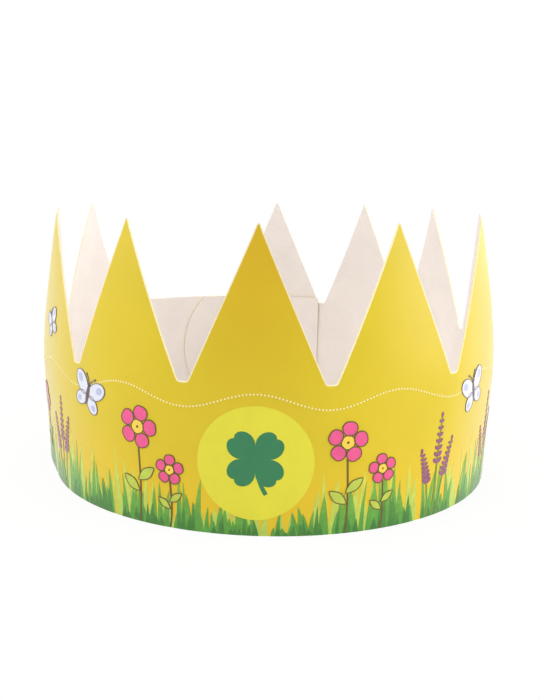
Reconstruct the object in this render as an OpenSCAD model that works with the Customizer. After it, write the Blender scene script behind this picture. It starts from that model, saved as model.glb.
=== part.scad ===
// A cardboard crown: one die-cut strip of printed card with a row of sharp points.
// The strip is bent round into a slightly oval loop.
// A slit in one end hooks into a slit in the other, and both ends lie inside the loop.
// Millimetres, +Z up. It stands on its lower edge, with the front point toward -Y.

/* [Card] */
// thickness of the card
card = 0.5; // [0.4:0.05:0.8]
// space left between two layers of card where the ends overlap
layer_gap = 0.15; // [0.1:0.05:0.4]

/* [Points] */
// number of points along the strip
point_count = 11; // [9:1:11]
// distance from one point to the next along the strip
pitch = 48; // [42:1:50]
// height of the points above the lower edge
tip_height = 100; // [80:1:130]
// height of the notch floors above the lower edge
floor_height = 50; // [47:1:60]
// width of the flat floor of a notch
floor_flat = 3.4; // [2:0.2:6]
// width of the blunt end of a point
tip_flat = 0.6; // [0.4:0.1:2]

/* [Loop] */
// outside radius of the two half rounds at the front and the back of the loop
round_end_radius = 87.2; // [86:0.2:92]
// length of the straight sides between the half rounds
straight_side = 18.4; // [14:0.4:30]
// how far the middle of the row of points stands from the front of the loop, along the strip
row_shift = 12; // [0:1:20]
// height at which the wall is widest and starts to lean in
bend_height = 45; // [30:1:46]
// how far the tips lean in from the widest outline
tip_lean = 3.6; // [0.5:0.1:8]
// how far the lower edge is drawn in from the widest outline
foot_draw = 1.5; // [0.5:0.1:3]

/* [Closure] */
// how far the flat tops of the end tongues stand above the notch floors
tongue_rise = 2.5; // [1:0.5:8]
// length of strip from the foot of the last point to the crossing of the slits
slit_step = 2.4; // [2:0.2:6]
// length of the square-ended tongue past the crossing
square_reach = 47; // [30:1:60]
// length of the round-ended tongue past the crossing
round_reach = 24; // [16:1:32]
// radius of the round-ended tongue's end
tongue_radius = 36; // [36:1:60]
// length along the strip in which an end passes from the outer to the inner layer
step_length = 1.2; // [0.8:0.1:2]
// clearance of a slit around the card that passes through it
slit_clear = 0.3; // [0.2:0.1:0.6]

/* [Colour] */
// colour of the printed side
card_colour = "#E2CB3A";

/* [Hidden] */
$fn = 240;

// Runs along the loop, counted from its front.
quarter_run = round_end_radius * PI / 2;
girth = 4 * quarter_run + 2 * straight_side;
half_side = straight_side / 2;

// Places along the strip, counted the same way.
last_point = row_shift + (point_count - 1) / 2 * pitch;
first_point = row_shift - (point_count - 1) / 2 * pitch;
front_point = first_point + floor(point_count / 2 - 1) * pitch;
point_foot = (pitch - floor_flat) / 2;
crossing = last_point + point_foot + slit_step;
square_end = crossing - square_reach;
round_end = crossing + round_reach;
open_from = last_point + pitch * 0.75;
open_to = first_point + girth - pitch * 0.75;

// Heights and layers of the two ends.
tongue_height = floor_height + tongue_rise;
slit_middle = tongue_height / 2;
layer_step = card + layer_gap;

// A joining piece is let this far into the layers that it joins.
let_in = card / 5;

// A prism that cuts the wall reaches this far in and out of it, and this far past its edges.
cut_reach = 14 + tip_lean;
cut_over = 2;
cut_top = tip_height + cut_over;

// Shares of a point's slope, from the notch floor up.
cut_share = (cut_top - floor_height) / (tip_height - floor_height);
tongue_share = tongue_rise / (tip_height - floor_height);

// A place on the loop, brought into one lap that starts at the middle of the front half round's left.
function lap(s) = s - girth * floor((s + quarter_run) / girth);

// Angle from the front at a place along the strip.
function facing(s) =
    lap(s) <= quarter_run ? lap(s) / quarter_run * 90 :
    lap(s) <= quarter_run + straight_side ? 90 :
    lap(s) <= 3 * quarter_run + straight_side ? 90 + (lap(s) - quarter_run - straight_side) / quarter_run * 90 :
    270;

// How far a place lies behind the middle of the loop, before the half rounds' own curve.
function shift_back(s) =
    lap(s) <= quarter_run ? -half_side :
    lap(s) <= quarter_run + straight_side ? lap(s) - quarter_run - half_side :
    lap(s) <= 3 * quarter_run + straight_side ? half_side :
    3 * quarter_run + straight_side + half_side - lap(s);

function outward(s) = [sin(facing(s)), -cos(facing(s))];

function along(s) = [cos(facing(s)), sin(facing(s))];

function spot(s, inset) = [0, shift_back(s)] + (round_end_radius - inset) * outward(s);

// How far the wall stands in from its widest outline at a height.
function draw_in(z) =
    z < bend_height ? foot_draw * (1 - z / bend_height) :
    tip_lean * (z - bend_height) / (tip_height - bend_height);

// Where the tip at one place comes, seen square to the wall at another place.
function seen_from(tip, s) = (spot(tip, tip_lean) - spot(s, 0)) * along(s);

// The crown is turned so that its front point comes to the front.
front_turn = atan2(-spot(front_point, tip_lean)[0], -spot(front_point, tip_lean)[1]);

// Section through the wall between two heights, bent where the wall is widest.
module wall_section(outer, inner, low, high) {
    heights = low < bend_height && high > bend_height ? [low, bend_height, high] : [low, high];
    top = len(heights) - 1;
    polygon(concat(
        [for (i = [0 : top]) [round_end_radius - outer - draw_in(heights[i]), heights[i]]],
        [for (i = [top : -1 : 0]) [round_end_radius - inner - draw_in(heights[i]), heights[i]]]
    ));
}

// The loop's wall, all the way round.
module ring() {
    for (side = [-1, 1])
        translate([0, side * half_side, 0])
            rotate_extrude(angle = 180, start = 90 - 90 * side)
                wall_section(0, card, 0, tip_height);
    for (side = [0, 1])
        mirror([side, 0, 0])
            translate([0, half_side, 0])
                rotate([90, 0, 0])
                    linear_extrude(height = straight_side)
                        wall_section(0, card, 0, tip_height);
}

// A stretch of wall in the back half round, from one place along the strip to another.
module back_stretch(from, to) {
    translate([0, half_side, 0])
        rotate_extrude(angle = (to - from) / quarter_run * 90, start = facing(from) - 90)
            children();
}

// A flat shape, drawn along the strip and upward, pushed straight through the wall at a place.
module through_wall(s) {
    translate([spot(s, 0)[0], spot(s, 0)[1], 0])
        rotate([0, 0, facing(s)])
            rotate([90, 0, 0])
                linear_extrude(height = 2 * cut_reach, center = true)
                    children();
}

// The V between two points, with its flat floor.
module notch(s) {
    left = seen_from(s - pitch / 2, s) + tip_flat / 2 + floor_flat / 2;
    right = seen_from(s + pitch / 2, s) - tip_flat / 2 - floor_flat / 2;
    through_wall(s)
        polygon([
            [-floor_flat / 2, floor_height],
            [floor_flat / 2, floor_height],
            [floor_flat / 2 + right * cut_share, cut_top],
            [left * cut_share - floor_flat / 2, cut_top]
        ]);
}

// The outer slope of the first or the last point, down to the flat top of its tongue.
module shoulder(tip, side) {
    s = tip + side * pitch / 2;
    foot = -side * floor_flat / 2;
    slope = seen_from(tip, s) + side * tip_flat / 2 - foot;
    through_wall(s)
        polygon([
            [foot + slope * tongue_share, tongue_height],
            [foot + slope * cut_share, cut_top],
            [side * pitch / 2, cut_top],
            [side * pitch / 2, tongue_height]
        ]);
}

// The cut that parts one layer at the crossing, stepped at half height.
module stepped_cut(side) {
    near = side * step_length / 2;
    far = side * (step_length / 2 + slit_clear);
    through_wall(crossing)
        polygon([
            [far, cut_top],
            [near, cut_top],
            [near, slit_middle + slit_clear],
            [-far, slit_middle + slit_clear],
            [-far, -cut_over],
            [-near, -cut_over],
            [-near, slit_middle - slit_clear],
            [far, slit_middle - slit_clear]
        ]);
}

// The outer layer: the row of points and the loop, parted at the crossing.
module outer_layer() {
    difference() {
        ring();
        for (i = [1 : point_count - 1])
            notch(first_point + (i - 0.5) * pitch);
        shoulder(first_point, -1);
        shoulder(last_point, 1);
        back_stretch(open_from, open_to)
            translate([round_end_radius - cut_reach, tongue_height])
                square([2 * cut_reach, tip_height]);
        stepped_cut(-1);
    }
}

// The inner layer: the two end tongues, one square and one rounded.
module inner_layer() {
    difference() {
        back_stretch(square_end, round_end)
            wall_section(layer_step, layer_step + card, 0, tongue_height);
        through_wall(round_end)
            difference() {
                translate([-tongue_radius / 2, -cut_over])
                    square([tongue_radius, tongue_height + 2 * cut_over]);
                translate([-tongue_radius, slit_middle])
                    circle(r = tongue_radius);
            }
        stepped_cut(1);
    }
}

// Where an end passes from the outer to the inner layer: one in the upper half, one in the lower half.
module passing(low, high) {
    back_stretch(crossing - step_length / 2 + let_in, crossing + step_length / 2 - let_in)
        wall_section(card - let_in, layer_step + let_in, low + let_in, high - let_in);
}

module crown_band() {
    color(card_colour)
        rotate([0, 0, front_turn])
            union() {
                outer_layer();
                inner_layer();
                passing(0, slit_middle - slit_clear);
                passing(slit_middle + slit_clear, tongue_height);
            }
}

crown_band();
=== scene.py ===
import math
import random

import bmesh
import bpy
from bpy.props import FloatProperty, FloatVectorProperty, IntProperty, PointerProperty
from bpy.types import Operator, Panel, PropertyGroup
from mathutils import Matrix, Vector


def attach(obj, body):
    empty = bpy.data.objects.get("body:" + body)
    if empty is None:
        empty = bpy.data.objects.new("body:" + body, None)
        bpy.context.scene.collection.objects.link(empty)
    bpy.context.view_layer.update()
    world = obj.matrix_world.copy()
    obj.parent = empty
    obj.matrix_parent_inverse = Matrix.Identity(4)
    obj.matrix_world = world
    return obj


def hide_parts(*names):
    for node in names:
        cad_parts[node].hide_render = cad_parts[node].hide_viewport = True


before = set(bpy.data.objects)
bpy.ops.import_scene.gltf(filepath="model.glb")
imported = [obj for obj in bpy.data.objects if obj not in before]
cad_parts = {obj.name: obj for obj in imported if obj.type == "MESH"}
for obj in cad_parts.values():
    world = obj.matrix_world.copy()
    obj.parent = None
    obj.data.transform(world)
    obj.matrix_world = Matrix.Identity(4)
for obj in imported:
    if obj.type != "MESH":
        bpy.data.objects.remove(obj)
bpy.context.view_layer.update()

bl_info = {
    "name": "Cardboard Crown",
    "version": (1, 0, 0),
    "blender": (4, 5, 0),
    "location": "3D View > Sidebar > Crown",
    "description": "Cuts, prints and closes a cardboard crown around its CAD frame, on a plain studio stage",
    "category": "Object",
}

# The strip is drawn flat first: places run along it and upward in millimetres, as in the part's source.
MM = 0.001

# The loop: the radius of its two half rounds, the straight sides between them, and the way round.
ROUND_END = 87.2
STRAIGHT_SIDE = 18.4
QUARTER = ROUND_END * math.pi / 2
GIRTH = 4 * QUARTER + 2 * STRAIGHT_SIDE
LOOP_STEPS = 660
# The height at which the wall is widest, and how softly it turns there.
BEND_HEIGHT = 45.0
BEND_SOFTNESS = 10.0

# The row of points: its middle, the point that comes to the front, and the cuts between the points.
MIDDLE_POINT = 12.0
POINTS_EACH_SIDE = 5
FRONT_POINT = -36.0
FLOOR_FLAT = 3.4
TIP_FLAT = 0.6
CORNER_ROUND = 1.4

# The closure: the slits at which the ends pass through each other, and the tongues past them.
TONGUE_HEIGHT = 52.5
TONGUE_RADIUS = 36.0
SLIT_MIDDLE = TONGUE_HEIGHT / 2
SLIT_HALF = 0.75
ROUND_SLIT = 276.7
SQUARE_SLIT = ROUND_SLIT - GIRTH
STRIP_START = SQUARE_SLIT - 47.0
STRIP_END = ROUND_SLIT + 24.0
# One layer of card with the space behind it.
LAYER_STEP = 0.65
# Past the slits, over this run, the free ends come closer to the wall behind them by these amounts.
FREE_RUN = 20.0
SQUARE_PRESS = 0.06
ROUND_PRESS = 0.12
# The upper edge of the square end springs away from the wall again.
TOP_SPRING = 0.25

# Where the hand-bent wall bulges out of the even loop or dips into it: place, reach along the strip, amount.
WAVES = ((-150, 20, 1.4), (-186, 22, -2.9), (-230, 24, 2.0), (36, 16, 1.3), (84, 18, 0.9), (113, 20, -2.0))
# No two points lean quite alike: how far their tips come apart, and the wave from point to point.
TIPS_APART = 0.6
TIPS_TURN = 2.4
TIPS_PHASE = 0.5
# A ripple along the whole strip.
RIPPLE = 0.18
RIPPLE_RUN = 15.3
RIPPLE_PHASE = 1.1

# The cutting die crushes ink and varnish away along the upper edge, over this width.
RIM_WIDTH = 0.38

# The card's columns: an even step, the least distance from a corner, and those at the foot of a slope.
COLUMN_STEP = 2
COLUMN_CLEAR = 0.6
FOOT_COLUMNS = (-1.1, -0.27, -0.13, 0.0, 0.3, 0.65)
# The card's rows: as many below the notch floors as above them, and one for the crushed rim.
HALF_ROWS = 10
CARD_ROWS = 2 * HALF_ROWS + 1
# From here past the last tips, over this run, the middle row sinks to the end of the slits.
SINK_START = 4.0
SINK_RUN = 19.0
# Where the edge stands less than this above the middle row, the rows above fall together.
LEAST_RISE = 1.2
# From here past its slit, the round-ended tongue's columns follow the curve of its end.
CURVE_START = 3.0

# The print stops just before the slits.
PRINT_FROM = -304.0
PRINT_TO = 274.0
# How far each film of ink stands out of the card, so that one ink covers another.
LIFTS = {
    "grass_pale": 0.04, "grass_mid": 0.07, "grass_dark": 0.10,
    "dots": 0.13, "disc": 0.14, "clover": 0.18,
    "blossom_stems": 0.13, "leaves": 0.15, "petals": 0.16,
    "centres": 0.18, "blossom_lines": 0.21,
    "stems": 0.14, "florets": 0.17,
    "wings": 0.16, "wing_marks": 0.18, "bodies": 0.20, "wing_lines": 0.22,
}
# The films are let this far into the card, and shapes of one ink that overlap are this far apart in depth.
LET_IN = 0.03
APART = 0.004

# Points of a flat sheet closer than these are one, or bound a face too thin to keep.
MERGE = 0.004 * MM
THIN = 0.002 * MM
# Faces that meet at less than this angle are shaded as one.
SMOOTH_BELOW = math.radians(30)


def linear(code):
    """Turns an sRGB hex colour into linear red, green and blue."""
    channels = [int(code[i:i + 2], 16) / 255 for i in (1, 3, 5)]
    return tuple(c / 12.92 if c <= 0.04045 else ((c + 0.055) / 1.055) ** 2.4 for c in channels)


def colour_property(name, description, code):
    return FloatVectorProperty(
        name=name, description=description, default=linear(code), size=3, subtype="COLOR", min=0, max=1)


def length_property(name, description, millimetres):
    return FloatProperty(
        name=name, description=description, default=millimetres * MM, min=0, unit="LENGTH", precision=5)


class CrownSizes(PropertyGroup):
    """Sizes of the card and its print"""
    thickness: length_property("Card thickness", "Thickness of the card", 0.5)
    pitch: length_property("Point pitch", "Distance from one point to the next along the strip", 48)
    tip_height: length_property("Tip height", "Height of the points above the lower edge", 100)
    floor_height: length_property("Notch floor", "Height of the notch floors above the lower edge", 50)
    tip_lean: length_property("Tip lean", "How far the tips lean in from the widest outline", 3.6)
    foot_draw: length_property("Foot draw", "How far the lower edge is drawn in from the widest outline", 1.5)
    disc_radius: length_property("Disc radius", "Radius of the printed disc under the front point", 19)
    dot_spacing: length_property("Dot spacing", "Distance between the printed dots", 1.15)
    grass_height: length_property("Grass height", "Height of the tallest printed blades", 30)
    grass_seed: IntProperty(
        name="Grass seed", description="Starts another scatter of printed blades", default=7, min=0)


class CrownColours(PropertyGroup):
    """Colours of the card, its inks and the stage"""
    ground: colour_property("Ground", "Yellow of the printed side", "#D8BF12")
    ground_low: colour_property("Ground, low", "Warmer yellow behind the grass", "#E4C018")
    # Painted shade: a deeper gold for the front point, standing in for the shade it lies in between the side
    # lamps.
    front_point_painted_shade: colour_property("Ground, front point", "Deeper gold of the front point", "#D5B00D")
    inside: colour_property("Inside", "Bare board inside the loop", "#EFE6DF")
    cut_edge: colour_property("Cut edge", "Cream of the cut edges", "#F5E8BE")
    disc: colour_property("Disc", "Pale lime of the disc", "#E2DA34")
    clover: colour_property("Clover", "Deep green on the disc", "#2C7D50")
    grass_dark: colour_property("Grass, dark", "Foot of the short blades", "#437F33")
    grass_dark_tip: colour_property("Grass, dark tips", "Tips of the short blades", "#5C9A3C")
    grass_mid: colour_property("Grass, middle", "Foot of most of the blades", "#589D3A")
    grass_mid_tip: colour_property("Grass, middle tips", "Tips of most of the blades", "#83B43F")
    grass_pale: colour_property("Grass, pale", "Foot of the tall pale blades", "#B4CC58")
    grass_pale_tip: colour_property("Grass, pale tips", "Tips of the tall pale blades", "#D9D64A")
    petal: colour_property("Petals", "Pink of the blossoms", "#E9558F")
    centre: colour_property("Blossom centres", "Orange yellow of the blossom centres", "#F3CF4A")
    leaf: colour_property("Leaves", "Light green of the blossom leaves", "#B9CB4C")
    stem: colour_property("Stems", "Green of the spikes' stems", "#6F8F2E")
    floret: colour_property("Florets", "Purple of the spikes", "#94507A")
    wing: colour_property("Wings", "Lilac white of the wings", "#DDE0F0")
    wing_mark: colour_property("Wing marks", "Deeper lilac in the wings", "#B9BDDC")
    wing_line: colour_property("Wing lines", "Grey brown of the wings' outlines", "#6E6270")
    body: colour_property("Bodies", "Brown of the butterflies' bodies", "#593F36")
    line: colour_property("Drawn lines", "Dark olive brown of the blossoms' outlines", "#6B5520")
    dots: colour_property("Dots", "White of the dotted wave", "#FBF0BC")
    floor: colour_property("Floor", "Plain pale floor", "#F4F3F1")


def mm(key):
    """One of the sizes, in millimetres."""
    return getattr(bpy.context.scene.crown_sizes, key) / MM


def colours():
    return bpy.context.scene.crown_colours


def share_of(run, whole):
    """How much of a whole a run has covered, from zero to one."""
    return min(1.0, max(0.0, run / whole))


def turned(x, z, turn):
    """A flat place, turned about the origin."""
    return x * math.cos(turn) - z * math.sin(turn), x * math.sin(turn) + z * math.cos(turn)


# The strip's shape

def loop_place(s):
    """Where a place comes on the loop's widest outline, before the crown is turned, and its angle."""
    lap = s - GIRTH * math.floor((s + QUARTER) / GIRTH)
    half_side = STRAIGHT_SIDE / 2
    if lap <= QUARTER:
        angle, back = lap / ROUND_END, -half_side
    elif lap <= QUARTER + STRAIGHT_SIDE:
        angle, back = math.pi / 2, lap - QUARTER - half_side
    elif lap <= 3 * QUARTER + STRAIGHT_SIDE:
        angle, back = (lap - STRAIGHT_SIDE) / ROUND_END, half_side
    else:
        angle, back = 1.5 * math.pi, 3 * QUARTER + STRAIGHT_SIDE + half_side - lap
    return ROUND_END * math.sin(angle), back - ROUND_END * math.cos(angle), angle


def front_turn():
    """The turn that brings the front point's tip to the front."""
    x, y, angle = loop_place(FRONT_POINT)
    lean = mm("tip_lean")
    return math.atan2(-x + lean * math.sin(angle), -y - lean * math.cos(angle))


def softened(run):
    """A run that starts at zero, with its start rounded off."""
    if run <= -BEND_SOFTNESS:
        return 0.0
    if run >= BEND_SOFTNESS:
        return run
    return (run + BEND_SOFTNESS) ** 2 / (4 * BEND_SOFTNESS)


def point_number(s):
    """The nearest point, counted from the middle of the row."""
    number = round((s - MIDDLE_POINT) / mm("pitch"))
    return max(-POINTS_EACH_SIDE, min(POINTS_EACH_SIDE, number))


def past_row(s):
    """How far a place lies past the first or the last tip, less than zero between them."""
    reach = POINTS_EACH_SIDE * mm("pitch")
    return max(MIDDLE_POINT - reach - s, s - MIDDLE_POINT - reach)


def cut_height(s):
    """Height of the cut upper edge at a place along the strip."""
    pitch, tip, floor = mm("pitch"), mm("tip_height"), mm("floor_height")
    away = abs(s - MIDDLE_POINT - point_number(s) * pitch)
    foot = (pitch - FLOOR_FLAT) / 2
    slope = (tip - floor) / (foot - TIP_FLAT / 2)
    height = tip - max(0.0, away - TIP_FLAT / 2) * slope
    if past_row(s) > 0:
        return max(TONGUE_HEIGHT, height)
    # The corner between floor and slope is a small arc.
    turn = math.atan(slope)
    along = foot - away + CORNER_ROUND * math.tan(turn / 2)
    if along <= 0:
        return floor
    if along < CORNER_ROUND * math.sin(turn):
        return floor + CORNER_ROUND - math.sqrt(CORNER_ROUND ** 2 - along ** 2)
    return height


def rim_drop(s):
    """Height of the crushed rim under the upper edge: taller on a slope, so that its width stays the same."""
    step = 0.3
    slope = (cut_height(s + step) - cut_height(s - step)) / (2 * step)
    return RIM_WIDTH * math.hypot(1, slope)


def layer_depth(s, z):
    """How far an end lies inside the loop's wall: nothing before its slit, about one layer past it."""
    past = max(SQUARE_SLIT - s, s - ROUND_SLIT)
    depth = LAYER_STEP * share_of(past + SLIT_HALF, 2 * SLIT_HALF)
    free = share_of(past, FREE_RUN)
    if s > ROUND_SLIT:
        return depth - ROUND_PRESS * free
    return depth + (TOP_SPRING * (z / TONGUE_HEIGHT) ** 4 - SQUARE_PRESS) * free


def card_depth(s, z):
    """How far the card's outer face lies inside the loop's widest outline."""
    tip, floor = mm("tip_height"), mm("floor_height")
    depth = mm("foot_draw") * softened(BEND_HEIGHT - z) / BEND_HEIGHT
    depth += mm("tip_lean") * softened(z - BEND_HEIGHT) / (tip - BEND_HEIGHT)
    if z > floor:
        apart = TIPS_APART * math.sin(TIPS_TURN * point_number(s) + TIPS_PHASE)
        depth += apart * ((z - floor) / (tip - floor)) ** 2
    depth += RIPPLE * math.sin(s / RIPPLE_RUN + RIPPLE_PHASE) * z / tip
    for place, reach, amount in WAVES:
        depth -= amount * math.exp(-((s - place) / reach) ** 2) * min(1.0, z / BEND_HEIGHT)
    return depth + layer_depth(s, z)


def strip_columns():
    """Places of the card's columns: at even steps, and exactly at the outline's corners and the slits."""
    pitch = mm("pitch")
    foot = (pitch - FLOOR_FLAT) / 2
    keys = [STRIP_START, STRIP_END]
    for slit in (SQUARE_SLIT, ROUND_SLIT):
        keys += [slit - SLIT_HALF, slit, slit + SLIT_HALF]
    for number in range(-POINTS_EACH_SIDE, POINTS_EACH_SIDE + 1):
        centre = MIDDLE_POINT + number * pitch
        keys.append(centre)
        for away in [TIP_FLAT / 2] + [foot + offset for offset in FOOT_COLUMNS]:
            keys += [centre - away, centre + away]
    count = int((STRIP_END - STRIP_START) / COLUMN_STEP)
    even = [STRIP_START + COLUMN_STEP * i for i in range(count)]
    return sorted(keys + [s for s in even if min(abs(s - key) for key in keys) > COLUMN_CLEAR])


def row_height(s, row):
    """Height of one of the card's rows, from the lower edge to the cut upper edge."""
    if row == CARD_ROWS:
        return cut_height(s)
    rim = cut_height(s) - rim_drop(s)
    floor = mm("floor_height") - RIM_WIDTH
    middle = floor + (SLIT_MIDDLE - floor) * share_of(past_row(s) - SINK_START, SINK_RUN)
    if row <= HALF_ROWS:
        return middle * row / HALF_ROWS
    if rim - middle < LEAST_RISE:
        return rim
    return middle + (rim - middle) * (row - HALF_ROWS) / HALF_ROWS


def rounded_end(s, z):
    """Draws a place in the round-ended tongue back to where the curve of its end leaves room at a height."""
    start = ROUND_SLIT + CURVE_START
    if s <= start:
        return s
    back = TONGUE_RADIUS - math.sqrt(TONGUE_RADIUS ** 2 - (z - SLIT_MIDDLE) ** 2)
    return start + (s - start) * (STRIP_END - back - start) / (STRIP_END - start)


# Modelling

def clear_selection():
    if bpy.context.object and bpy.context.object.mode != "OBJECT":
        bpy.ops.object.mode_set(mode="OBJECT")
    bpy.ops.object.select_all(action="DESELECT")


def new_sheet(name):
    """Starts an empty mesh and opens it in edit mode."""
    clear_selection()
    bpy.ops.object.add(type="MESH", enter_editmode=True, location=(0, 0, 0))
    sheet = bpy.context.object
    sheet.name = sheet.data.name = name
    return sheet


def flat_place(point):
    """Place along the strip and height of a point of a flat sheet, in millimetres."""
    return point.x / MM + STRIP_START, point.z / MM


def lay_grid(columns, rows, shape, rise=0.0):
    """Adds a grid to the open mesh and moves its points to the shape, flat along the strip."""
    bpy.ops.mesh.primitive_grid_add(x_subdivisions=columns, y_subdivisions=rows, size=2, location=(0, 0, 0))
    mesh = bmesh.from_edit_mesh(bpy.context.edit_object.data)
    for point in mesh.verts:
        if point.select:
            s, z = shape(point.co.x, point.co.y)
            point.co = ((s - STRIP_START) * MM, -rise * MM, z * MM)
    bmesh.update_edit_mesh(bpy.context.edit_object.data)


def lay_patch(s, z, along, up, turn=0.0, cells=4, reach=None, rise=0.0):
    """A filled round shape: an ellipse, or one whose radius follows reach(angle)."""
    def shape(u, v):
        a, b = u * math.sqrt(1 - v * v / 2), v * math.sqrt(1 - u * u / 2)
        k = reach(math.atan2(b, a)) if reach else 1.0
        x, y = turned(a * along * k, b * up * k, turn)
        return s + x, z + y
    lay_grid(cells, cells, shape, rise)


def lay_ribbon(path, width, cells, rise=0.0):
    """A drawn line along path(t), t from 0 to 1, as wide as width(t)."""
    step = 1e-3

    def shape(u, v):
        t = (v + 1) / 2
        x, z = path(t)
        ahead, behind = path(t + step), path(t - step)
        dx, dz = ahead[0] - behind[0], ahead[1] - behind[1]
        half = u * width(t) / 2 / max(1e-9, math.hypot(dx, dz))
        return x + dz * half, z - dx * half
    lay_grid(1, cells, shape, rise)


def lay_rim(s, z, along, up, turn, width, cells=20, reach=None):
    """The drawn outline of a filled round shape."""
    def path(t):
        angle = -2 * math.pi * t
        k = reach(math.atan2(math.sin(angle), math.cos(angle))) if reach else 1.0
        x, y = turned(along * k * math.cos(angle), up * k * math.sin(angle), turn)
        return s + x, z + y
    lay_ribbon(path, lambda t: width, cells)


def leaning(s, height, lean):
    """A path from the lower edge up that bends over sideways."""
    return lambda t: (s + lean * t * t, height * t)


def select_faces(wanted):
    """Selects the open mesh's faces whose centre and normal are wanted."""
    bpy.ops.mesh.select_all(action="DESELECT")
    bpy.ops.mesh.select_mode(type="FACE")
    mesh = bmesh.from_edit_mesh(bpy.context.edit_object.data)
    mesh.normal_update()
    for face in mesh.faces:
        if wanted(face.calc_center_median(), face.normal):
            face.select_set(True)
    bmesh.update_edit_mesh(bpy.context.edit_object.data)


def close_sheet(sheet, lift, thickness, finish_flat=None):
    """Merges the sheet's points, sets them at the wall's depth, thickens it and bends it round the loop."""
    bpy.ops.mesh.select_mode(type="VERT")
    bpy.ops.mesh.select_all(action="SELECT")
    bpy.ops.mesh.remove_doubles(threshold=MERGE)
    bpy.ops.mesh.dissolve_degenerate(threshold=THIN)
    select_faces(lambda centre, normal: normal.y > 0)
    bpy.ops.mesh.flip_normals()
    mesh = bmesh.from_edit_mesh(sheet.data)
    for point in mesh.verts:
        point.co.y += (card_depth(*flat_place(point.co)) - lift) * MM
    bmesh.update_edit_mesh(sheet.data)
    bpy.ops.object.mode_set(mode="OBJECT")
    # The card's back and cut edges take its second and third finish, an ink film has only one.
    finishes = len(sheet.data.materials)
    wall = sheet.modifiers.new("Card thickness", "SOLIDIFY")
    wall.thickness = thickness * MM
    wall.offset = -1
    wall.material_offset = min(1, finishes - 1)
    wall.material_offset_rim = min(2, finishes - 1)
    bpy.ops.object.modifier_apply(modifier=wall.name)
    if finish_flat:
        finish_flat(sheet)
    bend = sheet.modifiers.new("Bend round the loop", "CURVE")
    bend.object = loop_path()
    bend.deform_axis = "POS_X"
    bpy.ops.object.modifier_apply(modifier=bend.name)
    bpy.ops.object.shade_smooth_by_angle(angle=SMOOTH_BELOW)


def loop_path():
    """The line round the loop that flat sheets are bent along."""
    path = bpy.data.objects.get("loop_path")
    if path:
        return path
    turn = front_turn()
    line = bpy.data.curves.new("loop_path", "CURVE")
    line.dimensions = "2D"
    spline = line.splines.new("POLY")
    spline.points.add(LOOP_STEPS)
    for i, point in enumerate(spline.points):
        x, y, _ = loop_place(STRIP_START + (STRIP_END - STRIP_START) * i / LOOP_STEPS)
        x, y = turned(x, y, turn)
        point.co = (x * MM, y * MM, 0, 1)
    path = bpy.data.objects.new("loop_path", line)
    bpy.context.scene.collection.objects.link(path)
    return path


def ink_film(name, ink, draw):
    """One ink of the print: a film let into the card, drawn flat and bent round with it."""
    film = new_sheet("print_" + name)
    draw()
    film.data.materials.append(ink)
    close_sheet(film, LIFTS[name], LIFTS[name] + LET_IN)
    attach(film, "root")


# Materials

# Nearly all of a noise texture's values lie in this span.
NOISE_SPAN = {"From Min": 0.3, "From Max": 0.7}
# A value that falls from one to nothing over a distance.
FADE = {"To Min": 1.0, "To Max": 0.0}
# Satin varnish over ink: a mild gloss, and a pale sheen at a slant.
VARNISH = {
    "IOR": 1.48, "Specular IOR Level": 0.42,
    "Sheen Weight": 0.55, "Sheen Roughness": 0.36, "Sheen Tint": (1.0, 1.0, 0.9, 1.0),
}
# Height of grain and fibres for the bump.
GRAIN_HEIGHT = 0.05 * MM


def add_node(tree, kind, inputs=None, **settings):
    """Adds a node, sets it, and links or fills its inputs."""
    node = tree.nodes.new(kind)
    for key, value in settings.items():
        setattr(node, key, value)
    for key, value in (inputs or {}).items():
        if isinstance(value, bpy.types.NodeSocket):
            tree.links.new(value, node.inputs[key])
        else:
            node.inputs[key].default_value = value
    return node


def new_material(name):
    """Starts a material with cleared nodes, and the object coordinates that place its patterns."""
    material = bpy.data.materials.new(name)
    material.use_nodes = True
    tree = material.node_tree
    tree.nodes.clear()
    place = add_node(tree, "ShaderNodeTexCoord").outputs["Object"]
    return material, tree, place


def paint(colour):
    return tuple(colour) + (1.0,)


def clouded(tree, colour, pattern, least, most, span=NOISE_SPAN):
    """A colour whose brightness follows a pattern, from the least to the most."""
    tone = add_node(tree, "ShaderNodeMapRange", {**span, "Value": pattern, "To Min": least, "To Max": most})
    inputs = {0: colour, 1: tone.outputs["Result"]}
    return add_node(tree, "ShaderNodeVectorMath", inputs, operation="MULTIPLY").outputs[0]


def varnish_grain(tree, place):
    """The board's grain under the varnish, drawn 0.8 mm wide so that it shows, and the gloss it breaks."""
    grain = add_node(tree, "ShaderNodeTexNoise", {"Vector": place, "Scale": 1 / (0.8 * MM), "Detail": 2.0})
    gloss = add_node(tree, "ShaderNodeMapRange", {
        **NOISE_SPAN, "Value": grain.outputs["Fac"], "To Min": 0.29, "To Max": 0.37})
    return grain.outputs["Fac"], gloss.outputs["Result"]


def seen_directly(tree):
    """One where the camera sees a thing straight, in a gloss or through glass, and nothing elsewhere."""
    path = add_node(tree, "ShaderNodeLightPath").outputs
    straight = add_node(tree, "ShaderNodeMath", {
        0: path["Is Camera Ray"], 1: path["Is Glossy Ray"]}, operation="MAXIMUM")
    seen = add_node(tree, "ShaderNodeMath", {
        0: straight.outputs[0], 1: path["Is Transmission Ray"]}, operation="MAXIMUM")
    return seen.outputs[0]


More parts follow.
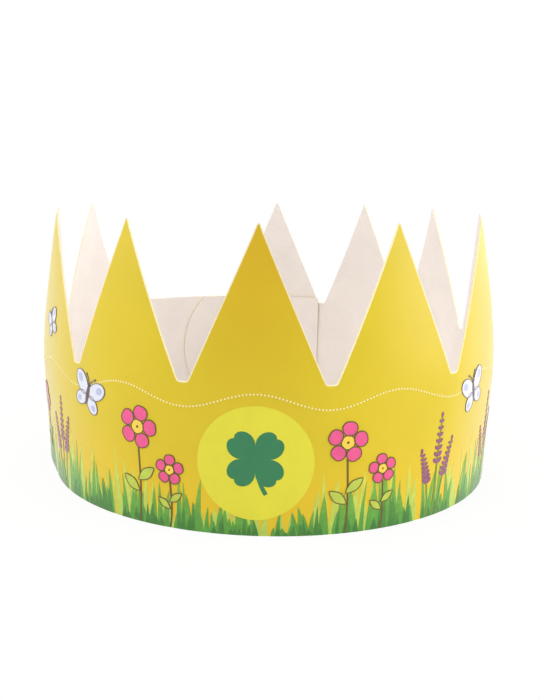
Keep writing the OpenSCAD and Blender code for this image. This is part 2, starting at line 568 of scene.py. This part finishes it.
def printed_board():
    """Offset-printed folding boxboard with a satin varnish.

    To the eye an even yellow with a slight cloud in the ink, warmer low down, a deeper gold on the front
    point that is painted shade, and a soft sheen at a slant."""
    material, tree, place = new_material("offset_printed_boxboard")
    height = add_node(tree, "ShaderNodeSeparateXYZ", {0: place}).outputs["Z"]
    low = add_node(tree, "ShaderNodeMapRange", {
        **FADE, "Value": height, "From Min": 4 * MM, "From Max": 34 * MM}, interpolation_type="SMOOTHSTEP")
    ground = add_node(tree, "ShaderNodeMix", {
        "Factor": low.outputs["Result"], "A": paint(colours().ground), "B": paint(colours().ground_low),
    }, data_type="RGBA")
    # Painted shade: the front point is coloured a deeper gold for the shade it lies in between the side
    # lamps, full at its tip, gone about 75 mm below it and at the next points.
    from_shaded_tip = add_node(tree, "ShaderNodeMapping", {
        "Vector": place, "Location": (0, 93 * MM, -100 * MM), "Scale": (2, 1, 1)})
    apart = add_node(tree, "ShaderNodeVectorMath", {0: from_shaded_tip.outputs[0]}, operation="LENGTH")
    tip_shade_share = add_node(tree, "ShaderNodeMapRange", {
        **FADE, "Value": apart.outputs["Value"], "From Min": 5 * MM, "From Max": 75 * MM,
    }, interpolation_type="SMOOTHSTEP")
    ground = add_node(tree, "ShaderNodeMix", {
        "Factor": tip_shade_share.outputs["Result"], "A": ground.outputs["Result"], "B": paint(colours().front_point_painted_shade),
    }, data_type="RGBA")
    # The cloud in the ink is about 22 mm across.
    cloud = add_node(tree, "ShaderNodeTexNoise", {
        "Vector": place, "Scale": 1 / (22 * MM), "Detail": 4.0, "Roughness": 0.55})
    tinted = clouded(tree, ground.outputs["Result"], cloud.outputs["Fac"], least=0.975, most=1.025)
    grain, gloss = varnish_grain(tree, place)
    bump = add_node(tree, "ShaderNodeBump", {"Height": grain, "Strength": 0.10, "Distance": GRAIN_HEIGHT})
    shader = add_node(tree, "ShaderNodeBsdfPrincipled", {
        **VARNISH, "Base Color": tinted, "Roughness": gloss, "Normal": bump.outputs["Normal"]})
    add_node(tree, "ShaderNodeOutputMaterial", {"Surface": shader.outputs[0]})
    return material


def bare_board():
    """Uncoated back of the boxboard, calendered wood pulp.

    To the eye matt and pale with a faint pink cast, fine fibres lying along the strip."""
    material, tree, place = new_material("uncoated_boxboard_back")
    # Fibres about 0.4 mm wide and 3 mm long, drawn wider than real ones so that they show.
    stretched = add_node(tree, "ShaderNodeMapping", {"Vector": place, "Scale": (0.35, 0.35, 2.2)})
    fibre = add_node(tree, "ShaderNodeTexNoise", {
        "Vector": stretched.outputs[0], "Scale": 1 / (1.0 * MM), "Detail": 4.0, "Roughness": 0.65})
    # A cloud in the pulp, about 14 mm across.
    cloud = add_node(tree, "ShaderNodeTexNoise", {"Vector": place, "Scale": 1 / (14 * MM), "Detail": 2.0})
    both = add_node(tree, "ShaderNodeMath", {
        0: fibre.outputs["Fac"], 1: cloud.outputs["Fac"]}, operation="ADD")
    span = {"From Min": 0.7, "From Max": 1.3}
    tinted = clouded(tree, tuple(colours().inside), both.outputs[0], least=0.95, most=1.03, span=span)
    bump = add_node(tree, "ShaderNodeBump", {
        "Height": fibre.outputs["Fac"], "Strength": 0.25, "Distance": GRAIN_HEIGHT})
    shader = add_node(tree, "ShaderNodeBsdfPrincipled", {
        "Base Color": tinted, "Normal": bump.outputs["Normal"],
        "Roughness": 0.86, "IOR": 1.45, "Specular IOR Level": 0.25})
    add_node(tree, "ShaderNodeOutputMaterial", {"Surface": shader.outputs[0]})
    return material


def cut_board():
    """Die-cut edge of the boxboard, its layers of pulp laid open.

    To the eye a thin cream line with a dry grain."""
    material, tree, place = new_material("die_cut_boxboard_edge")
    # Grain drawn 0.7 mm wide so that it shows.
    grain = add_node(tree, "ShaderNodeTexNoise", {"Vector": place, "Scale": 1 / (0.7 * MM), "Detail": 3.0})
    tinted = clouded(tree, tuple(colours().cut_edge), grain.outputs["Fac"], least=0.9, most=1.05)
    bump = add_node(tree, "ShaderNodeBump", {
        "Height": grain.outputs["Fac"], "Strength": 0.3, "Distance": GRAIN_HEIGHT})
    shader = add_node(tree, "ShaderNodeBsdfPrincipled", {
        "Base Color": tinted, "Normal": bump.outputs["Normal"],
        "Roughness": 0.9, "IOR": 1.45, "Specular IOR Level": 0.2})
    add_node(tree, "ShaderNodeOutputMaterial", {"Surface": shader.outputs[0]})
    return material


def offset_ink(name, colour, spread=0.06, patch=5, tip=None, tip_height=20.0):
    """Varnished offset ink on boxboard: how far its tone spreads, in patches how wide, and a blade's tip.

    To the eye the ground's satin sheen, a soft cloud in the tone, and for blades a lighter tip."""
    material, tree, place = new_material("offset_ink_" + name)
    base = tuple(colour)
    if tip:
        height = add_node(tree, "ShaderNodeSeparateXYZ", {0: place}).outputs["Z"]
        up = add_node(tree, "ShaderNodeMapRange", {
            "Value": height, "From Min": 2 * MM, "From Max": tip_height * MM})
        blade = add_node(tree, "ShaderNodeMix", {
            "Factor": up.outputs["Result"], "A": paint(colour), "B": paint(tip)}, data_type="RGBA")
        base = blade.outputs["Result"]
    cloud = add_node(tree, "ShaderNodeTexNoise", {
        "Vector": place, "Scale": 1 / (patch * MM), "Detail": 3.0, "Roughness": 0.6})
    tinted = clouded(tree, base, cloud.outputs["Fac"], least=1 - spread, most=1 + spread)
    _, gloss = varnish_grain(tree, place)
    shader = add_node(tree, "ShaderNodeBsdfPrincipled", {
        **VARNISH, "Base Color": tinted, "Roughness": gloss})
    add_node(tree, "ShaderNodeOutputMaterial", {"Surface": shader.outputs[0]})
    return material


def seamless_paper():
    """Seamless background paper.

    To the eye plain, matt and almost white, fully white further off, with the crown's faint shadow."""
    material, tree, place = new_material("seamless_paper")
    grain = add_node(tree, "ShaderNodeTexNoise", {"Vector": place, "Scale": 1 / (2 * MM), "Detail": 2.0})
    bump = add_node(tree, "ShaderNodeBump", {
        "Height": grain.outputs["Fac"], "Strength": 0.05, "Distance": GRAIN_HEIGHT})
    paper = add_node(tree, "ShaderNodeBsdfDiffuse", {
        "Color": paint(colours().floor), "Normal": bump.outputs["Normal"]})
    white = add_node(tree, "ShaderNodeEmission", {"Color": (1, 1, 1, 1), "Strength": 1.0})
    away = add_node(tree, "ShaderNodeVectorMath", {0: place}, operation="LENGTH")
    white_share = add_node(tree, "ShaderNodeMapRange", {
        "Value": away.outputs["Value"], "From Min": 250 * MM, "From Max": 900 * MM,
        "To Min": 0.93, "To Max": 1.0,
    }, interpolation_type="SMOOTHSTEP")
    share = add_node(tree, "ShaderNodeMath", {
        0: seen_directly(tree), 1: white_share.outputs["Result"]}, operation="MULTIPLY")
    mix = add_node(tree, "ShaderNodeMixShader", {
        0: share.outputs[0], 1: paper.outputs[0], 2: white.outputs[0]})
    add_node(tree, "ShaderNodeOutputMaterial", {"Surface": mix.outputs[0]})
    return material


def studio_room():
    """An even, neutral room: white where the camera sees it, a soft fill everywhere else."""
    world = bpy.data.worlds.new("studio_room")
    world.use_nodes = True
    tree = world.node_tree
    tree.nodes.clear()
    level = add_node(tree, "ShaderNodeMapRange", {
        "Value": seen_directly(tree), "To Min": 0.51, "To Max": 1.0})
    room = add_node(tree, "ShaderNodeBackground", {
        "Color": (1, 1, 1, 1), "Strength": level.outputs["Result"]})
    add_node(tree, "ShaderNodeOutputWorld", {"Surface": room.outputs[0]})
    return world


# Card

def in_slit(centre, normal):
    """Whether a face of the flat card lies in one of the slits: one open below, one open above."""
    s, z = flat_place(centre)
    if z < SLIT_MIDDLE:
        return abs(s - SQUARE_SLIT) < SLIT_HALF
    return abs(s - ROUND_SLIT) < SLIT_HALF


def in_rim(centre, normal):
    """Whether a face of the flat card lies on the printed side in the crushed rim."""
    s, z = flat_place(centre)
    return normal.y < -0.5 and z > cut_height(s) - 0.95 * rim_drop(s)


def crush_rim(card):
    """Gives the crushed rim the look of the cut edge, the card's third finish."""
    bpy.ops.object.mode_set(mode="EDIT")
    select_faces(in_rim)
    card.active_material_index = 2
    bpy.ops.object.material_slot_assign()
    bpy.ops.object.mode_set(mode="OBJECT")


class CROWN_OT_card(Operator):
    """Cuts the strip of card with its points, slits and tongues, and bends it into the closed loop"""
    bl_idname = "crown.card"
    bl_label = "Card band"

    def execute(self, context):
        places = strip_columns()
        last = len(places) - 1

        def shape(u, v):
            s = places[round((u + 1) / 2 * last)]
            z = row_height(s, round((v + 1) / 2 * CARD_ROWS))
            return rounded_end(s, z), z

        card = new_sheet("card_band")
        lay_grid(last, CARD_ROWS, shape)
        select_faces(in_slit)
        bpy.ops.mesh.delete(type="FACE")
        for finish in (printed_board(), bare_board(), cut_board()):
            card.data.materials.append(finish)
        close_sheet(card, 0, mm("thickness"), crush_rim)
        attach(card, "root")
        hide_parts("crown_band")
        return {"FINISHED"}


# Print

# Blades of grass: sway sideways as a share of the height, share of the height under the disc, and taper.
BLADE_SWAY = 0.26
UNDER_DISC = 0.6
BLADE_TAPER = 0.75
# Short blades are a little more common than tall ones.
SHORT_BIAS = 1.3
# Blades that overlap lie on as many levels.
BLADE_LEVELS = 5
# Tufts and gaps come and go in waves along the strip, with more gaps right of the front.
TUFT_SWING = 0.22
TUFT_RUNS = (5.3, 13.7)
GAP_RUNS = (2.9, 1.73)
SPARSE_MIDDLE = 25
SPARSE_REACH = 32
SPARSE_MORE = 0.5

# The disc's distance from the lower edge, and how far the clover's middle lies above the disc's.
DISC_FOOT = 5.5
CLOVER_RISE = 1.5
# The clover as shares of the disc's radius: half a leaf's width, and the length of the stalk.
CLOVER_LEAF = 0.245
CLOVER_STALK = 0.62
# A leaf's point at the stalk, and from the clover's middle to a leaf's, in half widths.
CLOVER_POINT = 1.5
CLOVER_OUT = 1.42
# The dent in a leaf's outer end: its depth in half widths, and its reach in radians.
CLOVER_DENT = 0.34
CLOVER_DENT_REACH = 0.40
# The stalk's bend sideways, and its width at the top and at the foot.
STALK_BEND = 3.5
STALK_TOP = 0.8
STALK_FOOT = 1.5

# The dotted wave: the dots' radius, the wave's middle height and swing, and the bare run at its two ends.
DOT_RADIUS = 0.29
WAVE_HEIGHT = 44.6
WAVE_SWING = 2.6
WAVE_END = 4.0

# Blossoms: place along the strip, height and size of each, and the millimetres of one of size 1.
BLOSSOMS = (
    (-268, 32, 0.95), (-204, 34, 1.0), (-150, 29, 0.85), (-77, 33, 1.0), (-65, 20, 0.7), (-6, 31, 0.95),
    (7, 21, 0.7), (94, 34, 1.0), (142, 29, 0.85), (190, 33, 1.0), (242, 30, 0.9))
PETALS = 5
PETAL_OUT = 4.9
PETAL_ALONG = 2.6
PETAL_ACROSS = 2.75
CENTRE_RADIUS = 2.5
CENTRE_DOT = 0.5
LEAF_ALONG = 4.0
LEAF_ACROSS = 1.9
# The two leaves of a stem: side, and share of the blossom's height at which it leaves the stem.
LEAVES = ((-1, 0.33), (1, 0.45))
# From there to a leaf's middle, sideways and up, and its lean from upright in degrees.
LEAF_ASIDE = 3.0
LEAF_UP = 2.4
LEAF_LEAN = 52
# The stem's bow sideways, the radians of a wave that it follows, and the height of its start.
STEM_BOW = 1.2
STEM_WAVE = 2.6
STEM_FOOT = 0.2
BLOSSOM_LINE = 0.36
LEAF_LINE = 0.32
STEM_LINE = 0.6

# Flower spikes: places of the clumps, and each stem's place in its clump, height and lean.
SPIKES = (-290, -236, -176, -125, 30, 71, 118, 166, 216, 263)
SPIKE_STEMS = ((-2.5, 27, -4.5), (0.5, 36, 0.8), (3.0, 30, 5.0))
# How much the clumps differ in height, and a stem's width at its foot and its end.
SPIKE_SWING = 0.06
SPIKE_FOOT = 0.75
SPIKE_END = 0.45
# Florets: pairs on a stem, first place and step as shares of the stem, half length and its fall per pair.
FLORET_PAIRS = 7
FLORETS_FROM = 0.55
FLORET_STEP = 0.065
FLORET_LENGTH = 1.25
FLORET_LESS = 0.09
# A floret's half width and distance from the stem as shares of its half length, and its turn in radians.
FLORET_THIN = 0.62
FLORET_OUT = 0.85
FLORET_TURN = 0.75

# Butterflies: place along the strip, height, size and tilt in degrees of each.
BUTTERFLIES = (
    (-222, 58, 1.0, 12), (-101, 40, 1.0, -18), (-133, 60, 0.75, 20), (51, 41, 1.05, 15),
    (106, 58, 0.9, -10), (153, 46, 0.9, 15), (231, 39, 0.9, -15))
# Each wing of one of size 1: its place out and up from the body, its two half widths and its turn.
WINGS = ((4.3, 2.9, 4.6, 3.0, 38), (3.3, -2.7, 3.5, 2.5, -36))
# The spot in a wing, as shares of the wing's half widths: distance from its middle, half length and width.
SPOT_OUT = 0.35
SPOT_ALONG = 0.36
SPOT_ACROSS = 0.42
BODY_ALONG = 4.0
BODY_ACROSS = 0.95
# Feelers: where they start and how far they reach, out and up, and their round ends.
FEELER_START = (0.3, 3.6)
FEELER_REACH = (2.2, 3.0)
FEELER_KNOB = 0.42
WING_LINE = 0.28
FEELER_LINE = 0.3


class CROWN_OT_grass(Operator):
    """Prints the border of grass blades along the lower edge, in three greens"""
    bl_idname = "crown.grass"
    bl_label = "Grass border"

    def execute(self, context):
        c = colours()
        dice = random.Random(context.scene.crown_sizes.grass_seed)
        pale = offset_ink(
            "pale_green", c.grass_pale, spread=0.10, patch=3, tip=c.grass_pale_tip, tip_height=26)
        ink_film("grass_pale", pale, lambda: self.blades(
            dice, count=220, low=0.40, high=1.0, thin=2.2, bare=2.1))
        mid = offset_ink(
            "middle_green", c.grass_mid, spread=0.14, patch=2.5, tip=c.grass_mid_tip, tip_height=20)
        ink_film("grass_mid", mid, lambda: self.blades(
            dice, count=380, low=0.26, high=0.82, thin=1.8, bare=1.3))
        dark = offset_ink(
            "dark_green", c.grass_dark, spread=0.16, patch=2, tip=c.grass_dark_tip, tip_height=13)
        ink_film("grass_dark", dark, lambda: self.blades(
            dice, count=300, low=0.12, high=0.46, thin=1.4, bare=0.95))
        return {"FINISHED"}

    def blades(self, dice, count, low, high, thin, bare):
        """Scatters blades between two shares of the grass height, from a thinnest foot up.

        A gap is left where the waves along the strip rise above the bare level."""
        step = (PRINT_TO - PRINT_FROM) / count
        for i in range(count):
            s = PRINT_FROM + (i + dice.random()) * step
            wave = math.sin(s / TUFT_RUNS[0]) * math.sin(s / TUFT_RUNS[1] + 1)
            tuft = 1 - TUFT_SWING + TUFT_SWING * wave
            height = (low + (high - low) * dice.random() ** SHORT_BIAS) * tuft * mm("grass_height")
            if abs(s - FRONT_POINT) < mm("disc_radius"):
                height *= UNDER_DISC
            # The widest foot is twice as wide as the thinnest.
            width = thin + thin * dice.random()
            lean = BLADE_SWAY * (dice.random() - 0.5) * height
            more = SPARSE_MORE * math.exp(-((s - SPARSE_MIDDLE) / SPARSE_REACH) ** 2)
            if math.sin(s / GAP_RUNS[0]) + math.sin(s / GAP_RUNS[1] + 1.3) > bare - more:
                continue
            lay_ribbon(
                leaning(s, height, lean), lambda t: width * max(0.0, 1 - t) ** BLADE_TAPER,
                cells=6, rise=APART * (i % BLADE_LEVELS))


def clover_leaf(angle):
    """A heart-shaped leaf: drawn to a point at the stalk, and dented on the other side."""
    tangent = math.acos(1 / CLOVER_POINT)
    from_stalk = math.pi - abs(angle)
    if from_stalk < tangent:
        return 1 / math.cos(tangent - from_stalk)
    return 1 - CLOVER_DENT * math.exp(-(abs(angle) / CLOVER_DENT_REACH) ** 1.2)


class CROWN_OT_badge(Operator):
    """Prints the pale disc under the front point, with a plain four-leaf clover on it"""
    bl_idname = "crown.badge"
    bl_label = "Disc and clover"

    def execute(self, context):
        radius = mm("disc_radius")
        middle = radius + DISC_FOOT
        lime = offset_ink("lime", colours().disc, spread=0.03, patch=8)
        ink_film("disc", lime, lambda: lay_patch(FRONT_POINT, middle, radius, radius, cells=24))
        green = offset_ink("deep_green", colours().clover, spread=0.05, patch=4)
        ink_film("clover", green, lambda: self.clover(middle + CLOVER_RISE, radius))
        return {"FINISHED"}

    def clover(self, z, radius):
        half = CLOVER_LEAF * radius
        for i in range(4):
            turn = math.pi / 4 + i * math.pi / 2
            x, y = turned(CLOVER_OUT * half, 0, turn)
            lay_patch(
                FRONT_POINT + x, z + y, half, half, turn, cells=20, reach=clover_leaf, rise=APART * i)

        def stalk(t):
            return FRONT_POINT + STALK_BEND * t * t, z - CLOVER_STALK * radius * t
        lay_ribbon(stalk, lambda t: STALK_TOP + (STALK_FOOT - STALK_TOP) * t, cells=8)


class CROWN_OT_dots(Operator):
    """Prints the wave of white dots round the band"""
    bl_idname = "crown.dots"
    bl_label = "Dotted wave"

    def execute(self, context):
        ink_film("dots", offset_ink("white", colours().dots, spread=0.02), self.wave)
        return {"FINISHED"}

    def wave(self):
        s = PRINT_FROM + WAVE_END
        while s < PRINT_TO - WAVE_END:
            z = WAVE_HEIGHT + WAVE_SWING * math.cos(2 * math.pi * (s - FRONT_POINT) / mm("pitch"))
            lay_patch(s, z, DOT_RADIUS, DOT_RADIUS, cells=2)
            s += mm("dot_spacing")


def petal_reach(angle):
    """A round petal with a slight dent at its outer end."""
    return 1 - 0.10 * math.exp(-(angle / 0.4) ** 2)


def leaf_reach(angle):
    """A leaf, pointed at both ends."""
    return (abs(math.cos(angle)) ** 1.3 + abs(math.sin(angle)) ** 1.3) ** (-1 / 1.3)


class CROWN_OT_blossoms(Operator):
    """Prints the five-petal blossoms with their stems and leaves"""
    bl_idname = "crown.blossoms"
    bl_label = "Blossoms"

    def execute(self, context):
        c = colours()
        ink_film("blossom_stems", offset_ink("stem_brown", c.line, patch=2), self.draw_stems)
        ink_film("petals", offset_ink("pink", c.petal, spread=0.07, patch=3), self.draw_petals)
        ink_film("leaves", offset_ink("leaf_green", c.leaf, spread=0.10, patch=3), self.draw_leaves)
        ink_film("centres", offset_ink("orange_yellow", c.centre, spread=0.05, patch=2), self.draw_centres)
        ink_film("blossom_lines", offset_ink("olive_brown", c.line, patch=2), self.draw_lines)
        return {"FINISHED"}

    def petals(self):
        """Place, half widths and turn of every petal."""
        for s, z, size in BLOSSOMS:
            for i in range(PETALS):
                turn = math.pi / 2 + i * 2 * math.pi / PETALS + 0.02 * s
                x, y = turned(PETAL_OUT * size, 0, turn)
                yield s + x, z + y, PETAL_ALONG * size, PETAL_ACROSS * size, turn

    def leaves(self):
        """Place, half widths and turn of every leaf: one on each side of a stem, the right one higher."""
        for s, z, size in BLOSSOMS:
            for side, share in LEAVES:
                x, y = s + side * LEAF_ASIDE * size, z * share + LEAF_UP * size
                yield x, y, LEAF_ALONG * size, LEAF_ACROSS * size, math.radians(90 - side * LEAF_LEAN)

    def draw_stems(self):
        for s, z, size in BLOSSOMS:
            def path(t):
                bow = STEM_BOW * math.sin(STEM_WAVE * t) * (1 - t)
                return s + bow, STEM_FOOT + (z - PETAL_ALONG * size) * t
            lay_ribbon(path, lambda t: STEM_LINE, cells=10)

    def draw_petals(self):
        for petal in self.petals():
            lay_patch(*petal, reach=petal_reach)

    def draw_leaves(self):
        for leaf in self.leaves():
            lay_patch(*leaf, reach=leaf_reach)

    def draw_centres(self):
        for s, z, size in BLOSSOMS:
            lay_patch(s, z, CENTRE_RADIUS * size, CENTRE_RADIUS * size)

    def draw_lines(self):
        for petal in self.petals():
            lay_rim(*petal, BLOSSOM_LINE, reach=petal_reach)
        for leaf in self.leaves():
            lay_rim(*leaf, LEAF_LINE, cells=18, reach=leaf_reach)
        for s, z, size in BLOSSOMS:
            lay_rim(s, z, CENTRE_RADIUS * size, CENTRE_RADIUS * size, 0.0, BLOSSOM_LINE)
            lay_patch(s, z, CENTRE_DOT * size, CENTRE_DOT * size, cells=2)


class CROWN_OT_spikes(Operator):
    """Prints the clumps of purple flower spikes"""
    bl_idname = "crown.spikes"
    bl_label = "Flower spikes"

    def execute(self, context):
        c = colours()
        ink_film("stems", offset_ink("stem_green", c.stem, spread=0.08, patch=3), self.draw_stems)
        ink_film("florets", offset_ink("purple", c.floret, spread=0.12, patch=1.6), self.draw_florets)
        return {"FINISHED"}

    def stems(self):
        """The path of every stem."""
        for number, place in enumerate(SPIKES):
            for offset, height, lean in SPIKE_STEMS:
                height *= 1 - SPIKE_SWING + SPIKE_SWING * math.sin(5.1 * number + offset)
                yield leaning(place + offset, height, lean)

    def draw_stems(self):
        for path in self.stems():
            lay_ribbon(path, lambda t: SPIKE_FOOT + (SPIKE_END - SPIKE_FOOT) * t, cells=12)

    def draw_florets(self):
        """Florets in pairs up a stem, smaller toward its end, with a bud on top."""
        for path in self.stems():
            for pair in range(FLORET_PAIRS):
                x, z = path(FLORETS_FROM + FLORET_STEP * pair)
                half = FLORET_LENGTH - FLORET_LESS * pair
                for side, turn in ((-1, math.pi - FLORET_TURN), (1, FLORET_TURN)):
                    lay_patch(x + side * FLORET_OUT * half, z + 0.3, half, FLORET_THIN * half, turn, cells=3)
            x, z = path(1.0)
            lay_patch(x, z + 0.4, 0.55, 0.95, cells=3)


class CROWN_OT_butterflies(Operator):
    """Prints the butterflies with pale wings and brown bodies"""
    bl_idname = "crown.butterflies"
    bl_label = "Butterflies"

    def execute(self, context):
        c = colours()
        ink_film("wings", offset_ink("lilac_white", c.wing, spread=0.03, patch=3), self.draw_wings)
        ink_film("wing_marks", offset_ink("lilac", c.wing_mark, spread=0.05, patch=2), self.draw_marks)
        ink_film("bodies", offset_ink("brown", c.body, spread=0.08, patch=1.5), self.draw_bodies)
        ink_film("wing_lines", offset_ink("grey_brown", c.wing_line, spread=0.05, patch=2), self.draw_lines)
        return {"FINISHED"}

    def wings(self):
        """Place, half widths and turn of every wing."""
        for s, z, size, tilt in BUTTERFLIES:
            angle = math.radians(tilt)
            for out, up, along, across, turn in WINGS:
                for side in (-1, 1):
                    x, y = turned(side * out * size, up * size, angle)
                    own = math.radians(turn) if side > 0 else math.pi - math.radians(turn)
                    yield s + x, z + y, along * size, across * size, own + angle

    def draw_wings(self):
        for wing in self.wings():
            lay_patch(*wing, cells=5)

    def draw_marks(self):
        """A spot in the outer half of every wing."""
        for s, z, along, across, turn in self.wings():
            x, y = turned(SPOT_OUT * along, 0, turn)
            lay_patch(s + x, z + y, SPOT_ALONG * along, SPOT_ACROSS * across, turn, cells=3)

    def draw_bodies(self):
        for s, z, size, tilt in BUTTERFLIES:
            lay_patch(s, z, BODY_ACROSS * size, BODY_ALONG * size, math.radians(tilt))

    def draw_lines(self):
        for wing in self.wings():
            lay_rim(*wing, WING_LINE, cells=22)
        for s, z, size, tilt in BUTTERFLIES:
            for side in (-1, 1):
                def feeler(t):
                    out = side * (FEELER_START[0] + FEELER_REACH[0] * t * t) * size
                    up = (FEELER_START[1] + FEELER_REACH[1] * t) * size
                    x, y = turned(out, up, math.radians(tilt))
                    return s + x, z + y
                lay_ribbon(feeler, lambda t: FEELER_LINE, cells=6)
                lay_patch(*feeler(1.0), FEELER_KNOB * size, FEELER_KNOB * size, cells=2)


# Stage

FLOOR_SIZE = 8
# The floor lies just under the card's lower edge.
FLOOR_DROP = 0.2 * MM
# Lamps: place and width in metres, power in watts. All of them point at the middle of the band.
LAMPS = (
    ("right_softbox", (1.06, -0.25, 0.34), 0.7, 7.4),
    ("back_right_softbox", (0.85, 0.85, 0.30), 0.65, 1.6),
    ("left_softbox", (-1.05, -0.30, 0.60), 0.9, 6.6),
    ("top_softbox", (0.0, 0.1, 1.3), 1.2, 9.5))
LAMP_AIM = Vector((0, 0, 0.05))
# The camera at the photograph's angle: its place in metres, and its turns from looking down, in degrees.
CAMERA_PLACE = (0.00761, -0.36895, 0.11498)
CAMERA_TURNS = ((0.752, "Z"), (78.913, "X"), (0.857, "Z"))
CAMERA_LENS = 46.56
SENSOR_HEIGHT = 36
CLIP_START = 0.01


class CROWN_OT_stage(Operator):
    """Sets up the plain pale floor, the soft light and the camera at the photograph's angle"""
    bl_idname = "crown.stage"
    bl_label = "Studio stage"

    def execute(self, context):
        clear_selection()
        bpy.ops.mesh.primitive_plane_add(size=FLOOR_SIZE, location=(0, 0, -FLOOR_DROP))
        floor = bpy.context.object
        bpy.ops.object.transform_apply(location=True)
        floor.name = floor.data.name = "studio_floor"
        floor.data.materials.append(seamless_paper())
        context.scene.world = studio_room()
        for name, place, width, power in LAMPS:
            bpy.ops.object.light_add(type="AREA", location=place)
            lamp = bpy.context.object
            lamp.name = lamp.data.name = name
            lamp.data.size = width
            lamp.data.energy = power
            lamp.rotation_euler = (LAMP_AIM - lamp.location).to_track_quat("-Z", "Y").to_euler()
        aim = Matrix.Identity(3)
        for degrees, axis in CAMERA_TURNS:
            aim = aim @ Matrix.Rotation(math.radians(degrees), 3, axis)
        bpy.ops.object.camera_add(location=CAMERA_PLACE, rotation=aim.to_euler())
        camera = bpy.context.object
        camera.name = "photo_camera"
        camera.data.lens = CAMERA_LENS
        camera.data.sensor_fit = "VERTICAL"
        camera.data.sensor_height = SENSOR_HEIGHT
        camera.data.clip_start = CLIP_START
        context.scene.camera = camera
        context.scene.view_settings.view_transform = "Standard"
        return {"FINISHED"}


PIECES = (
    CROWN_OT_card, CROWN_OT_grass, CROWN_OT_badge, CROWN_OT_dots,
    CROWN_OT_blossoms, CROWN_OT_spikes, CROWN_OT_butterflies, CROWN_OT_stage)


class CROWN_PT_panel(Panel):
    """Lists the crown's pieces with their sizes and colours"""
    bl_idname = "CROWN_PT_panel"
    bl_label = "Cardboard Crown"
    bl_space_type = "VIEW_3D"
    bl_region_type = "UI"
    bl_category = "Crown"

    def draw(self, context):
        for piece in PIECES:
            self.layout.operator(piece.bl_idname)
        for group in (context.scene.crown_sizes, context.scene.crown_colours):
            box = self.layout.box()
            for key in group.__annotations__:
                box.prop(group, key)


CLASSES = (CrownSizes, CrownColours) + PIECES + (CROWN_PT_panel,)


def register():
    for item in CLASSES:
        bpy.utils.register_class(item)
    bpy.types.Scene.crown_sizes = PointerProperty(type=CrownSizes)
    bpy.types.Scene.crown_colours = PointerProperty(type=CrownColours)


def unregister():
    del bpy.types.Scene.crown_colours
    del bpy.types.Scene.crown_sizes
    for item in reversed(CLASSES):
        bpy.utils.unregister_class(item)


def main():
    register()
    bpy.ops.crown.stage()
    bpy.ops.crown.card()
    bpy.ops.crown.grass()
    bpy.ops.crown.badge()
    bpy.ops.crown.dots()
    bpy.ops.crown.blossoms()
    bpy.ops.crown.spikes()
    bpy.ops.crown.butterflies()
    path = bpy.data.objects["loop_path"]
    bpy.data.objects.remove(path)
    clear_selection()


if __name__ == "__main__":
    main()
